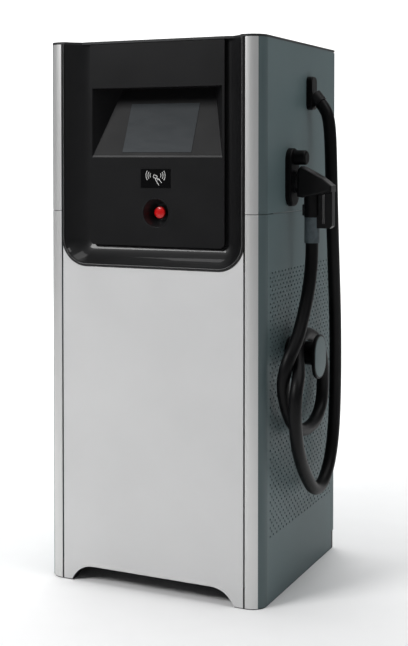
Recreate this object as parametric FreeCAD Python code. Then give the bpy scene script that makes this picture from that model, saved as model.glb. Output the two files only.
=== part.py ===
"""A free-standing EV charging post. Millimetres, +X to the connector side, +Y to the back, +Z up.

The origin is on the ground at the centre of the four anchor bolts.
"""
import FreeCAD
import Part
import math
import os

V = FreeCAD.Vector

# ---- cabinet ----
cab_w = 776.0           # outside width
cab_d = 690.0           # outside depth, front panel face to rear door face
cab_h = 1800.0          # ground to the top of the roof cover
seam_z = 1239.0         # joint between the lower and the upper cabinet
seam_gap = 2.0          # open width of every shut line
skin = 2.0              # sheet steel of the panels and the door
corner_r = 50.0         # radius of the rounded front corners
post_w = 58.0           # width of a corner column seen from the front
trim_t = 3.0            # wall of the silver corner trims
trim_wrap = 43.0        # how far a trim wraps round the corner, in degrees
column_wall = 6.0       # wall of the column profiles
trim_gap = 6.0          # dark gap between a trim and the front panel
ground_gap = 3.0        # panels stop this far above the ground
roof_t = 8.0            # height of the roof cover
roof_skin = 2.5         # its sheet

# ---- plinth ----
plinth_h = 62.0         # height of the base frame
plinth_wall = 4.0
rail_d = 42.0           # depth of the front and rear rails
foot_w = 58.0           # width of the side rails' bottom flange
foot_t = 6.0            # and its thickness
arch_h = 54.5           # height of the fork arch
arch_w = 594.0          # its width at the ground
arch_r = 88.0           # radius of its upper corners
anchor_x = 700.0        # anchor bolt spacing across
anchor_y = 540.0        # anchor bolt spacing front to back
anchor_r = 7.0          # anchor hole radius, for M12
floor_t = 3.0           # floor plate
entry_w = 320.0         # cable entry plate
entry_d = 180.0
entry_t = 4.0
entry_y = 90.0          # its centre behind the middle of the cabinet
entry_pitch = 95.0      # between the three cable entries
entry_r = 25.0          # hole for an M50 cable gland

# ---- inner frame ----
angle_w = 40.0          # leg of the angle irons
angle_t = 4.0

# ---- fascia ----
fascia_w = 660.0        # width of the black bezel
fascia_bottom = 1057.0  # its lower edge
fascia_r = 92.0         # its lower corners
fascia_d = 66.0         # front plane to its mounting face
fascia_lip = 3.0        # how far the rim stands out of the front panel
fascia_wall = 4.0
# the dish: distance in from the rim, depth behind the front plane
dish = [(10.0, 0.0), (22.0, 17.0), (36.0, 32.0), (52.0, 44.0), (70.0, 52.0), (84.0, 55.0)]
panel_w = 490.0         # operator panel
panel_bottom = 1127.0
panel_r = 18.0
panel_y = 40.0          # depth of its face behind the front plane
panel_t = 3.0
roof_under = cab_h - roof_t

# ---- screen ----
recess_w = 474.0
recess_z0 = 1417.0      # lower edge of the recess, on the panel's face
recess_z1 = 1645.0      # its ceiling
lean = 0.41             # depth gained by the sloping face per unit of height
splay = 0.706           # width lost by each side wall per unit of depth
recess_t = 3.0
glass_w = 252.0
glass_h = 174.0
glass_t = 4.0
glass_proud = 1.0       # glass stands out of the slope
glass_z0 = 1433.0       # height of its lower edge
display_t = 30.0

# ---- card reader and emergency stop ----
reader_w = 108.0
reader_h = 62.0
reader_z = 1348.0
reader_t = 4.0
stop_z = 1236.0
dish_r = 49.0           # rim of the emergency stop's dish
dish_floor_r = 28.0
dish_depth = 49.0
dish_wall = 3.0
head_r = 20.0           # mushroom head
head_t = 14.0
head_depth = 24.0       # panel face to the front of the head
stem_r = 6.0
stop_travel = 5.0

# ---- side panels ----
panel_rear = 665.0      # side panels end this far behind the front plane
hole_r = 4.0            # perforation
hole_pitch_y = 28.6
hole_pitch_z = 27.4
perf_y0, perf_y1 = 76.0, 655.0
perf_z0, perf_z1 = 215.0, 1060.0

# ---- rear door ----
door_d = 24.0
hinge_r = 6.0
pin_r = 4.0
run = 0.05              # radial clearance of a running fit
knuckle_h = 30.0
hinge_zs = (260.0, 930.0, 1600.0)
lock_z = 1000.0
lock_x = 330.0
shaft_r = 5.0
cam_l = 48.0

# ---- fans, power modules, switchgear ----
fan_w = 220.0
fan_d = 50.0
fan_bore_r = 100.0
fan_zs = (390.0, 680.0)
blade_r = 96.0
hub_r = 35.0
blade_count = 7
fan_shaft_r = 4.0
fan_y = 20.0
module_w, module_d, module_h = 440.0, 330.0, 88.0
module_pitch = 110.0
module_z0 = 160.0
module_count = 3
rack_t = 3.0

# ---- cable outlet, cable and its hook ----
cable_r = 21.0
gland_y = 80.0          # centre of the cable outlet behind the middle
gland_w, gland_h, gland_t = 56.0, 113.0, 20.0
gland_z = 1633.5
hook_y, hook_z = -100.0, 779.0
hook_r = 38.0           # drum the cable hangs on
hook_len = 97.0
hook_plate_w, hook_plate_h, hook_plate_t = 114.0, 143.0, 10.0
hook_plate_z = 770.5

# ---- holster and connector ----
hol_y = -103.0          # plane of the holster and the connector
hol_w, hol_h, hol_t = 81.0, 190.0, 20.0
hol_z = 1352.0
sock_z = 1336.0         # axis of the socket and of the connector's nose
nose_r = 27.0
sock_gap = 0.6          # socket wall to nose
hood_r = 24.0
hood_z = 1416.0
hood_out = 62.0
tube_r = 26.0           # upright neck of the connector
tube_out = 78.0         # its axis, measured from the side panel
boot_r = 25.0
boot_z1, boot_z0 = 1223.0, 1139.0
grip_out0, grip_out1 = 126.0, 151.0

front = -cab_d / 2
back = cab_d / 2
side = cab_w / 2
column_in = side - post_w + trim_gap / 2     # inner edge of a column and its trim
panel_half = side - post_w - trim_gap / 2    # half width of the front panel
upright_y = front + fascia_d                 # front face of the front uprights
door_y = back - door_d                       # inner face of the rear door
upright_y1 = front + panel_rear - 2          # rear face of the rear uprights
frame_top = roof_under - 6
deck_z = plinth_h + floor_t                  # top of the floor plate
fan_x = column_in - angle_t                  # outer face of the fan plate


def box(x0, x1, y0, y1, z0, z1):
    return Part.makeBox(x1 - x0, y1 - y0, z1 - z0, V(x0, y0, z0))


def rod(r, length, at, way):
    return Part.makeCylinder(r, length, V(*at), V(*way))


def tube(r_out, r_in, length, at, way):
    return rod(r_out, length, at, way).cut(rod(r_in, length, at, way))


def prism(points, way):
    """A straight-sided solid: the closed outline through the points, carried along way."""
    wire = Part.makePolygon([V(*p) for p in points] + [V(*points[0])])
    return Part.Face(wire).extrude(V(*way))


def mirror(shape):
    """The left-hand twin of a right-hand piece."""
    return shape.mirror(V(0, 0, 0), V(1, 0, 0))


def rounded(w, h, r, centre, plane):
    """A closed wire: a w by h rectangle with corners of radius r, in plane 'xz' or 'yz', about centre."""
    a, b = w / 2, h / 2
    r = min(r, a - 0.01, b - 0.01)
    s = math.sqrt(0.5) * r

    def at(u, v):
        if plane == "xz":
            return V(centre[0] + u, centre[1], centre[2] + v)
        return V(centre[0], centre[1] + u, centre[2] + v)

    edges = []
    corners = [(a - r, b - r, 1, 1), (-a + r, b - r, -1, 1), (-a + r, -b + r, -1, -1), (a - r, -b + r, 1, -1)]
    ends = []
    for u, v, su, sv in corners:
        along = (u + su * r, v)
        up = (u, v + sv * r)
        first, last = (along, up) if su * sv > 0 else (up, along)
        ends.append((first, last))
        edges.append(Part.Arc(at(*first), at(u + su * s, v + sv * s), at(*last)).toShape())
        if len(ends) > 1:
            edges.insert(-1, Part.LineSegment(at(*ends[-2][1]), at(*first)).toShape())
    edges.append(Part.LineSegment(at(*ends[-1][1]), at(*ends[0][0])).toShape())
    return Part.Wire(edges)


def slab(w, h, r, centre, plane, t):
    """A flat rounded plate of thickness t behind or beyond its centre, along +Y or +X."""
    way = V(0, t, 0) if plane == "xz" else V(t, 0, 0)
    return Part.Face(rounded(w, h, r, centre, plane)).extrude(way)


def save(name, *shapes):
    """Writes one node. Several shapes in a node stay separate solids."""
    shape = shapes[0] if len(shapes) == 1 else Part.makeCompound(list(shapes))
    if len(shapes) == 1 and len(shape.Solids) == 1:
        shape = shape.Solids[0]
    if not shape.isValid() or not shape.Solids:
        print("bad shape:", name, len(shape.Solids))
    shape.exportStep("parts/" + name + ".step")


# ---------------------------------------------------------------- plinth and floor
def arch(grow, y0, y1):
    """The fork arch as a cutter from y0 to y1, larger all round by grow. Its upper corners are arcs."""
    half, top, r = arch_w / 2 + grow, arch_h + grow, arch_r + grow
    low = -1.0
    cx, cz = half - r + r * (1 - math.sqrt(1 - ((r - top) / r) ** 2)), top - r
    rise = math.acos((low - cz) / r)
    x_end = cx + r * math.sin(rise)
    mid = rise / 2
    right = Part.Arc(V(x_end, y0, low), V(cx + r * math.sin(mid), y0, cz + r * math.cos(mid)), V(cx, y0, top))
    left = Part.Arc(V(-cx, y0, top), V(-cx - r * math.sin(mid), y0, cz + r * math.cos(mid)), V(-x_end, y0, low))
    top_line = Part.LineSegment(V(cx, y0, top), V(-cx, y0, top))
    low_line = Part.LineSegment(V(-x_end, y0, low), V(x_end, y0, low))
    wire = Part.Wire([right.toShape(), top_line.toShape(), left.toShape(), low_line.toShape()])
    return Part.Face(wire).extrude(V(0, y1 - y0, 0))


def base_block():
    """The plinth's outer shape: a block with rounded front corners that fits inside the columns."""
    half, r = side - skin, corner_r - skin
    block = box(-half, half, front + skin, back - skin, 0, plinth_h)
    y_mid = front + skin + 1
    return block.makeFillet(r, [e for e in block.Edges if e.BoundBox.ZLength > 1 and e.BoundBox.YMax < y_mid])


def plinth_rail(y0, y1):
    """A folded channel across the cabinet, arched for the forks and open on top."""
    half = side - skin
    rail = box(-half, half, y0, y1, 0, plinth_h)
    w = plinth_wall
    reach = side - corner_r
    hollow = box(-reach, reach, y0 + w, y1 - w, w, plinth_h + 1)
    hollow = hollow.cut(arch(w, y0, y1))
    return rail.cut(arch(0, y0 - 1, y1 + 1)).cut(hollow)


def plinth_frame():
    half = side - skin
    y0, y1 = front + skin, back - skin
    frame = plinth_rail(y0, y0 + rail_d).fuse(plinth_rail(y1 - rail_d, y1))
    for sign in (1, -1):
        wall = box(half - plinth_wall, half, y0, y1, 0, plinth_h)
        foot = box(half - foot_w, half, y0 + rail_d, y1 - rail_d, 0, foot_t)
        shelf = box(half - angle_w, half, y0 + rail_d, y1 - rail_d, plinth_h - angle_t, plinth_h)
        rail = wall.fuse([foot, shelf])
        for y in (-anchor_y / 2, anchor_y / 2):
            rail = rail.cut(rod(anchor_r, foot_t + 2, (anchor_x / 2, y, -1), (0, 0, 1)))
            rail = rail.cut(rod(2.5 * anchor_r, 2 * angle_t, (anchor_x / 2, y, plinth_h - 1.5 * angle_t), (0, 0, 1)))
        frame = frame.fuse(rail if sign > 0 else mirror(rail))
    return frame.common(base_block()).removeSplitter()


def floor_plate():
    plate = box(-side + skin, side - skin, front + skin, door_y - seam_gap, plinth_h, deck_z)
    for sign in (1, -1):
        corner = box(column_in - 1, side, front, front + fascia_d + angle_w + 1, plinth_h - 1, deck_z + 1)
        plate = plate.cut(corner if sign > 0 else mirror(corner))
    half_w, half_d = entry_w / 2 - 15, entry_d / 2 - 15
    return plate.cut(box(-half_w, half_w, entry_y - half_d, entry_y + half_d, plinth_h - 1, deck_z + 1))


def cable_entry_plate():
    plate = box(-entry_w / 2, entry_w / 2, entry_y - entry_d / 2, entry_y + entry_d / 2, deck_z, deck_z + entry_t)
    for x in (-entry_pitch, 0, entry_pitch):
        plate = plate.cut(rod(entry_r, entry_t + 2, (x, entry_y, deck_z - 1), (0, 0, 1)))
    return plate


# ---------------------------------------------------------------- inner frame
def inner_frame():
    """Four angle-iron uprights, joined by angle rails at the foot, at the cabinet joint and at the top."""
    front_x = column_in
    rear_x = side - skin
    w, t = angle_w, angle_t
    pieces = []
    for sign in (1, -1):
        front_post = [box(front_x - t, front_x, upright_y, upright_y + w, deck_z, frame_top),
                      box(front_x - w, front_x, upright_y, upright_y + t, deck_z, frame_top)]
        rear_post = [box(rear_x - t, rear_x, upright_y1 - w, upright_y1, deck_z, frame_top),
                     box(rear_x - w, rear_x, upright_y1 - t, upright_y1, deck_z, frame_top)]
        ties = []
        for z in (seam_z - w / 2, frame_top - w):
            ties.append(box(rear_x - t, rear_x, upright_y + w, upright_y1, z, z + w))
            ties.append(box(front_x - t, rear_x, upright_y + w - t, upright_y + w, z, z + w))
        ties.append(box(front_x - t, rear_x, upright_y + w - t, upright_y + w, deck_z, deck_z + w))
        ties.append(box(rear_x - t, rear_x, upright_y + w, upright_y1, deck_z, deck_z + w))
        for piece in front_post + rear_post + ties:
            pieces.append(piece if sign > 0 else mirror(piece))
    for z in (frame_top - w,):
        pieces.append(box(-front_x, front_x, upright_y + w - t, upright_y + w, z, z + w))
        pieces.append(box(-rear_x, rear_x, upright_y1 - t, upright_y1, z, z + w))
    return pieces[0].fuse(pieces[1:]).removeSplitter()


# ---------------------------------------------------------------- columns, trims, panels
def corner_point(r, angle):
    """A point of the right front corner's arc, angle degrees round from straight ahead."""
    a = math.radians(angle)
    return side - corner_r + r * math.sin(a), front + corner_r - r * math.cos(a)


def corner_arc(r, a0, a1, z):
    points = [V(*corner_point(r, a), z) for a in (a0, (a0 + a1) / 2, a1)]
    return Part.Arc(*points).toShape()


def outline(steps, z):
    """A closed wire at height z from a list of points and ready-made arcs."""
    edges = []
    last = None
    for step in steps:
        if isinstance(step, tuple):
            here = V(step[0], step[1], z)
            if last is not None and last.distanceToPoint(here) > 1e-6:
                edges.append(Part.LineSegment(last, here).toShape())
            last = here
        else:
            start = step.valueAt(step.FirstParameter)
            if last is not None and last.distanceToPoint(start) > 1e-6:
                edges.append(Part.LineSegment(last, start).toShape())
            edges.append(step)
            last = step.valueAt(step.LastParameter)
    first = edges[0].valueAt(edges[0].FirstParameter)
    if last.distanceToPoint(first) > 1e-6:
        edges.append(Part.LineSegment(last, first).toShape())
    return Part.Wire(Part.__sortEdges__(edges))


def column(z0, z1):
    """The right column: an extruded profile, stepped in where the silver trim covers it."""
    under = corner_r - trim_t
    inner = corner_r - column_wall
    lip_y = front + corner_r + 25
    steps = [
        (column_in, front + trim_t),
        corner_arc(under, 0, trim_wrap, z0),
        corner_arc(corner_r, trim_wrap, 90, z0),
        (side - skin, front + corner_r),
        (side - skin, lip_y),
        (side - column_wall, lip_y),
        corner_arc(inner, 90, 0, z0),
        (column_in + 3, front + column_wall),
        (column_in + 3, upright_y + angle_w - angle_t),
        (column_in, upright_y + angle_w - angle_t),
    ]
    profile = Part.Face(outline(steps, z0)).extrude(V(0, 0, z1 - z0))
    return profile.cut(base_block()) if z0 < plinth_h else profile


def trim(z0, z1):
    under = corner_r - trim_t
    steps = [
        (column_in, front),
        corner_arc(corner_r, 0, trim_wrap, z0),
        corner_arc(under, trim_wrap, 0, z0),
        (column_in, front + trim_t),
    ]
    profile = Part.Face(outline(steps, z0)).extrude(V(0, 0, z1 - z0))
    return profile.cut(base_block()) if z0 < plinth_h else profile


def side_panel(z0, z1, perforated):
    """The right side panel: a flat sheet, pierced in staggered rows where the fans blow through it."""
    x0 = side - skin
    y0, y1 = front + corner_r + seam_gap / 2, front + panel_rear
    wires = [Part.makePolygon([V(x0, y0, z0), V(x0, y1, z0), V(x0, y1, z1), V(x0, y0, z1), V(x0, y0, z0)])]
    if perforated:
        columns = int((perf_y1 - perf_y0) / hole_pitch_y)
        rows = int((perf_z1 - perf_z0) / (hole_pitch_z / 2))
        for row in range(rows + 1):
            for col in range(columns + (row + 1) % 2):
                y = front + perf_y0 + (col + (row % 2) / 2) * hole_pitch_y
                z = perf_z0 + row * hole_pitch_z / 2
                circle = Part.Circle(V(x0, y, z), V(1, 0, 0), hole_r)
                wires.append(Part.Wire(circle.toShape()))
    face = Part.Face(wires, "Part::FaceMakerBullseye") if perforated else Part.Face(wires[0])
    return face.extrude(V(skin, 0, 0))


def fascia_outline(inset, y0, y1, top=roof_under, bottom=None, radius=None):
    """The fascia's U-shaped outline, smaller all round by inset, as a solid from y0 to y1."""
    low = fascia_bottom + inset if bottom is None else bottom
    r = fascia_r - inset if radius is None else radius
    half = fascia_w / 2 - inset
    return Part.Face(fascia_wire(half, low, r, y0, top)).extrude(V(0, y1 - y0, 0))


def fascia_wire(half, low, r, y, top):
    s = r * (1 - math.sqrt(0.5))
    right = Part.Arc(V(half - r, y, low), V(half - s, y, low + s), V(half, y, low + r)).toShape()
    left = Part.Arc(V(-half, y, low + r), V(-half + s, y, low + s), V(-half + r, y, low)).toShape()
    lines = [
        Part.LineSegment(V(half, y, low + r), V(half, y, top)).toShape(),
        Part.LineSegment(V(half, y, top), V(-half, y, top)).toShape(),
        Part.LineSegment(V(-half, y, top), V(-half, y, low + r)).toShape(),
        Part.LineSegment(V(-half + r, y, low), V(half - r, y, low)).toShape(),
    ]
    return Part.Wire([right, lines[0], lines[1], lines[2], left, lines[3]])


def front_panel():
    """A flat sheet with folded sides, arched at the foot and cut out round the fascia."""
    top = fascia_bottom + fascia_r
    sheet = box(-panel_half, panel_half, front, front + skin, ground_gap, top)
    sheet = sheet.cut(fascia_outline(-1, front - 1, front + 5, top + 10))
    returns = []
    for sign in (1, -1):
        fold = box(panel_half - skin, panel_half, front, upright_y, plinth_h + 3, fascia_bottom)
        returns.append(fold if sign > 0 else mirror(fold))
    return sheet.fuse(returns).cut(arch(0, front - 1, front + 5)).removeSplitter()


def dish_cutter(grow, shift):
    """The hollow of the dished fascia, lofted through its stations. grow widens it and shift moves it back."""
    wires = []
    top = roof_under + 20
    d0, y0 = dish[0]
    stations = [(d0, y0 - 20)] + dish
    for d, y in stations:
        inset = d - grow
        half = fascia_w / 2 - inset
        wires.append(fascia_wire(half, fascia_bottom + inset, fascia_r - inset, front + y + shift, top))
    parts = []
    for first, second in zip(wires, wires[1:]):
        parts.append(Part.makeLoft([first, second], True, True))
    whole = parts[0].fuse(parts[1:])
    return whole


def fascia_bezel():
    """A deep moulded bezel: its outer wall, its dished face, and a flat floor round the operator panel."""
    y0, y1 = front - fascia_lip, upright_y
    block = fascia_outline(0, y0, y1)
    shell = block.cut(dish_cutter(0, 0))
    floor_y = front + dish[-1][1]
    opening = box(-panel_w / 2 + 9, panel_w / 2 - 9, floor_y - 5, y1 + 1, panel_bottom + 13, roof_under - 7)
    shell = shell.cut(opening)
    hollow = fascia_outline(fascia_wall, front + 24, y1 + 1, roof_under - fascia_wall)
    hollow = hollow.cut(dish_cutter(fascia_wall, fascia_wall))
    keep = box(-panel_w / 2 - 4, panel_w / 2 + 4, front, y1 + 1, panel_bottom - 4, roof_under)
    seat = fascia_wire(panel_w / 2 + 0.3, panel_bottom - 0.3, panel_r + 0.3, front + panel_y - 2, roof_under + 5)
    seat = Part.Face(seat).extrude(V(0, dish[-1][1] - panel_y + 2, 0))
    return shell.cut(hollow.cut(keep)).cut(seat)


def recess(grow, y0):
    """The wedge of the screen recess: a sloping face, splayed side walls and a flat ceiling."""
    deep = 130.0
    tilt = math.sqrt(1 + lean * lean)
    drop = grow * tilt / lean
    spread = grow * math.sqrt(1 + splay * splay)
    lead = y0 - (front + panel_y)
    face_y = front + panel_y
    z_front = recess_z0 + lead / lean - drop
    z_top = recess_z1 + grow
    y_top = face_y + (z_top - recess_z0 + drop) * lean
    wedge = prism([(-side, y0, z_front), (-side, y_top, z_top), (-side, y0, z_top)], (2 * side, 0, 0))
    half = recess_w / 2 + spread
    walls = prism([(half - splay * lead, y0, 1300), (half - splay * deep, face_y + deep, 1300),
                   (-half + splay * deep, face_y + deep, 1300), (-half + splay * lead, y0, 1300)], (0, 0, 500))
    return wedge.common(walls)


def slope_box(w, h, t0, t1, z0):
    """A box lying on the recess's sloping face: w wide, h up the slope from height z0, t0 to t1 outwards."""
    angle = math.degrees(math.atan(lean))
    piece = Part.makeBox(w, t1 - t0, h, V(-w / 2, -t1, 0))
    piece.rotate(V(0, 0, 0), V(1, 0, 0), -angle)
    piece.translate(V(0, front + panel_y + lean * (z0 - recess_z0), z0))
    return piece


def operator_panel():
    """A tray with folded edges, standing on the bezel's floor, open for the screen, reader and stop."""
    y0 = front + panel_y
    depth = dish[-1][1] - panel_y
    top = roof_under - 2
    outer = Part.Face(fascia_wire(panel_w / 2, panel_bottom, panel_r, y0, top)).extrude(V(0, depth, 0))
    t = panel_t
    inner = Part.Face(fascia_wire(panel_w / 2 - t, panel_bottom + t, panel_r - t, y0 + t, top - t))
    tray = outer.cut(inner.extrude(V(0, depth, 0)))
    tray = tray.cut(recess(0, y0 - 5))
    tray = tray.cut(box(-reader_w / 2 - 0.3, reader_w / 2 + 0.3, y0 - 1, y0 + t + 1,
                        reader_z - reader_h / 2 - 0.3, reader_z + reader_h / 2 + 0.3))
    return tray.cut(rod(dish_r + 0.2, 20, (0, y0 - 5, stop_z), (0, 1, 0)))


def screen_recess():
    y0 = front + panel_y + panel_t
    shell = recess(recess_t, y0).cut(recess(0, y0 - 1))
    return shell.cut(slope_box(glass_w + 1, glass_h + 1, -12, 12, glass_z0 - 0.5))


def estop_dish():
    """A spun cup with a flat floor, for the mushroom head."""
    y0 = front + panel_y - 0.8
    floor = front + panel_y + dish_depth
    w = dish_wall
    points = [(dish_r - 2.5, y0), (dish_r, y0), (dish_r, y0 + 6), (dish_floor_r + w, floor + w),
              (12.0, floor + w), (12.0, floor), (dish_floor_r, floor)]
    wire = Part.makePolygon([V(r, y, stop_z) for r, y in points] + [V(points[0][0], points[0][1], stop_z)])
    return Part.Face(wire).revolve(V(0, 0, stop_z), V(0, 1, 0), 360)


def estop_block():
    """The fixed part of the stop: a collar in the dish, a barrel through its floor, and the contact block."""
    floor = front + panel_y + dish_depth
    collar = rod(15, 5.3, (0, floor - 5.3, stop_z), (0, 1, 0))
    barrel = rod(11.5, 12, (0, floor - 1, stop_z), (0, 1, 0))
    block = box(-16, 16, floor + dish_wall, floor + 45, stop_z - 22, stop_z + 22)
    bore = rod(stem_r + run, 31, (0, floor - 7, stop_z), (0, 1, 0))
    return collar.fuse([barrel, block]).cut(bore)


def estop_stem():
    y0 = front + panel_y + head_depth + 6
    y1 = front + panel_y + dish_depth + 17
    return rod(stem_r, y1 - y0, (0, y0, stop_z), (0, 1, 0))


def estop_head():
    """A mushroom head with a domed face, a waist and a socket for the stem."""
    y0 = front + panel_y + head_depth
    r = head_r
    face = Part.Arc(V(0, y0, stop_z), V(0.55 * r, y0 + 0.9, stop_z), V(r - 3, y0 + 3.2, stop_z)).toShape()
    edge = Part.Arc(V(r - 3, y0 + 3.2, stop_z), V(r - 0.4, y0 + 5, stop_z), V(r, y0 + 7.5, stop_z)).toShape()
    tail = Part.makePolygon([V(r, y0 + 7.5, stop_z), V(r, y0 + 9, stop_z), V(r - 6, y0 + head_t, stop_z),
                             V(0, y0 + head_t, stop_z), V(0, y0, stop_z)])
    head = Part.Face(Part.Wire([face, edge] + tail.Edges)).revolve(V(0, 0, stop_z), V(0, 1, 0), 360)
    return head.cut(rod(stem_r + run, head_t, (0, y0 + 5.7, stop_z), (0, 1, 0)))


def top_cover():
    """A folded tray with the cabinet's rounded front corners, cut back in front along the dish."""
    z0, z1 = roof_under, cab_h
    right = corner_arc(corner_r, 0, 90, z0)
    reach = fascia_w / 2
    notch = [(reach, front)] + [(reach - d, front + y) for d, y in dish[:4]]
    notch.append((panel_w / 2, front + panel_y))
    steps = [(side, back), (-side, back), (-side, front + corner_r)]
    left_arc = Part.Arc(V(-side, front + corner_r, z0), V(-corner_point(corner_r, 45)[0], corner_point(corner_r, 45)[1], z0),
                        V(-(side - corner_r), front, z0)).toShape()
    steps.append(left_arc)
    steps += [(-x, y) for x, y in notch]
    steps += notch[::-1]
    steps.append(right)
    plate = Part.Face(outline(steps, z0)).extrude(V(0, 0, z1 - z0))
    rim = 6.0
    hollow = box(-side + rim, side - rim, front + corner_r + 25, back - rim, z0 - 1, z1 - roof_skin)
    return plate.cut(hollow)


# ---------------------------------------------------------------- rear door
def rear_door():
    """A pan: a flat sheet with folded edges, with a hole for the lock shaft."""
    z0, z1 = plinth_h + seam_gap, roof_under - seam_gap
    pan = box(-side, side, door_y, back, z0, z1)
    pan = pan.cut(box(-side + skin, side - skin, door_y - 1, back - skin, z0 + skin, z1 - skin))
    return pan.cut(rod(shaft_r + run, 10, (lock_x, back - 5, lock_z), (0, 1, 0)))


def door_hinges():
    """The fixed leaves with their lower knuckles and pins, and the door leaves with the upper knuckles."""
    x, y = -side - hinge_r - 0.5, door_y + 1
    fixed, moving = [], []
    for z in hinge_zs:
        low = rod(hinge_r, knuckle_h - 0.3, (x, y, z - knuckle_h), (0, 0, 1))
        pin = rod(pin_r, 2 * knuckle_h - 1, (x, y, z - knuckle_h), (0, 0, 1))
        leaf = box(-side - skin, -side, y - 45, y - 2.2, z - knuckle_h, z - 0.3)
        neck = box(x, -side, y - 5.5, y - 2.2, z - knuckle_h, z - 0.3)
        fixed.append(low.fuse([pin, leaf, neck]))
        high = rod(hinge_r, knuckle_h, (x, y, z), (0, 0, 1))
        plate = box(-side - skin, -side, y, back, z, z + knuckle_h)
        high = high.fuse([plate, box(x, -side, y, y + 4, z, z + knuckle_h)])
        moving.append(high.cut(rod(pin_r + run, knuckle_h + 2, (x, y, z - 1), (0, 0, 1))))
    return fixed, moving


def door_handle():
    """A flat lever on a round rose and its shaft. Level is open, and a quarter turn down is shut."""
    rose = rod(19, 9, (lock_x, back + 0.4, lock_z), (0, 1, 0))
    lever = slab(130, 24, 11.9, (lock_x - 48, back + 9, lock_z), "xz", 8)
    shaft = rod(shaft_r, back + 2 - (upright_y1 - 8), (lock_x, upright_y1 - 8, lock_z), (0, 1, 0))
    return rose.fuse([lever, shaft])


def lock_cam():
    """The tongue on the shaft's inner end. It hangs down when open and turns behind the frame's edge."""
    y = upright_y1 - angle_t - 4
    cam = slab(20, cam_l + 10, 9.9, (lock_x, y, lock_z - cam_l / 2 + 5), "xz", 3)
    return cam.cut(rod(shaft_r, 10, (lock_x, y - 3, lock_z), (0, 1, 0)))


# ---------------------------------------------------------------- cooling, power, switchgear
def fan_plate():
    """The sheet that carries the fans, bolted to the front and rear uprights."""
    x1 = fan_x
    plate = box(x1 - 3, x1, upright_y + 8, upright_y1 - angle_t, deck_z, 850)
    for z in fan_zs:
        plate = plate.cut(rod(fan_bore_r, 10, (x1 - 6, fan_y, z), (1, 0, 0)))
    return plate


def fan_frame(z):
    """A square frame with a round duct, four spokes to the motor, and the shaft."""
    x0 = fan_x
    frame = slab(fan_w, fan_w, 8, (x0, fan_y, z), "yz", fan_d).cut(rod(fan_bore_r, fan_d + 2, (x0 - 1, fan_y, z), (1, 0, 0)))
    motor = rod(hub_r - 3, 14, (x0, fan_y, z), (1, 0, 0))
    spokes = []
    for k in range(4):
        spoke = box(x0, x0 + 8, fan_y + hub_r - 8, fan_y + fan_bore_r + 2, z - 4, z + 4)
        spoke.rotate(V(x0, fan_y, z), V(1, 0, 0), 45 + 90 * k)
        spokes.append(spoke)
    shaft = rod(fan_shaft_r, 34, (x0 + 5, fan_y, z), (1, 0, 0))
    return frame.fuse([motor, shaft] + spokes)


def fan_rotor(z):
    """A hub with pitched blades."""
    x0 = fan_x + 14.6
    length = 28.0
    hub = rod(hub_r, length, (x0, fan_y, z), (1, 0, 0))
    blades = []
    for k in range(blade_count):
        blade = box(x0 + 12.5, x0 + 15.5, fan_y + hub_r - 4, fan_y + blade_r, z - 24, z + 24)
        blade.rotate(V(x0 + 14, fan_y, z), V(0, 1, 0), 24)
        blade.rotate(V(x0, fan_y, z), V(1, 0, 0), 360 * k / blade_count)
        blades.append(blade)
    rotor = hub.fuse(blades).common(rod(blade_r, length, (x0, fan_y, z), (1, 0, 0)))
    return rotor.cut(rod(fan_shaft_r + run, length + 2, (x0 - 1, fan_y, z), (1, 0, 0)))


def module_rack():
    """Two side sheets with folded shelves that the power modules slide on."""
    half = module_w / 2 + 1
    y0, y1 = -190.0, 190.0
    top = module_z0 + module_pitch * module_count
    pieces = []
    for sign in (1, -1):
        sheet = box(half, half + rack_t, y0, y1, deck_z, top)
        pieces.append(sheet if sign > 0 else mirror(sheet))
        for k in range(module_count):
            z = module_z0 + k * module_pitch
            shelf = box(half - 25, half + 1, y0, y1, z - rack_t, z)
            pieces.append(shelf if sign > 0 else mirror(shelf))
    pieces.append(box(-half - 1, half + 1, y0, y1, top - rack_t, top))
    return pieces[0].fuse(pieces[1:]).removeSplitter()


def power_module(k):
    """A 19-inch converter: its case round a through air duct, and two pull handles."""
    z = module_z0 + k * module_pitch
    case = box(-module_w / 2, module_w / 2, -module_d / 2, module_d / 2, z, z + module_h)
    case = case.cut(box(-150, 150, -module_d / 2 - 1, module_d / 2 + 1, z + 12, z + module_h - 12))
    for x in (-185, 185):
        bar = box(x - 6, x + 6, -module_d / 2 - 28, -module_d / 2, z + 14, z + module_h - 14)
        gap = box(x - 7, x + 7, -module_d / 2 - 20, -module_d / 2, z + 24, z + module_h - 24)
        case = case.fuse(bar.cut(gap))
    return case


equip_y = 120.0         # front face of the equipment plate
equip_z0, equip_z1 = 560.0, 1700.0
breaker_z = 1080.0


def equipment_plate():
    """The mounting sheet for the switchgear, folded back at its sides to the rear rails."""
    plate = box(-300, 300, equip_y, equip_y + 3, equip_z0, equip_z1)
    folds = [box(s * 300 - 3 * (s > 0), s * 300 + 3 * (s < 0), equip_y, upright_y1 - angle_t, equip_z1 - 60, equip_z1) for s in (1, -1)]
    return plate.fuse(folds).removeSplitter()


def main_breaker():
    body = box(-75, 75, equip_y - 90, equip_y, breaker_z - 110, breaker_z + 110)
    nose = box(-52, 52, equip_y - 104, equip_y - 89, breaker_z - 60, breaker_z + 60)
    slot = box(-16, 16, equip_y - 105, equip_y - 60, breaker_z - 40, breaker_z + 40)
    pivot = rod(4, 44, (-22, equip_y - 72, breaker_z), (1, 0, 0))
    return body.fuse(nose).cut(slot).fuse(pivot)


def breaker_lever():
    hub = rod(10, 24, (-12, equip_y - 72, breaker_z), (1, 0, 0))
    arm = box(-10, 10, equip_y - 132, equip_y - 72, breaker_z - 7, breaker_z + 7)
    return hub.fuse(arm).cut(rod(4 + run, 40, (-20, equip_y - 72, breaker_z), (1, 0, 0)))


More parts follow.
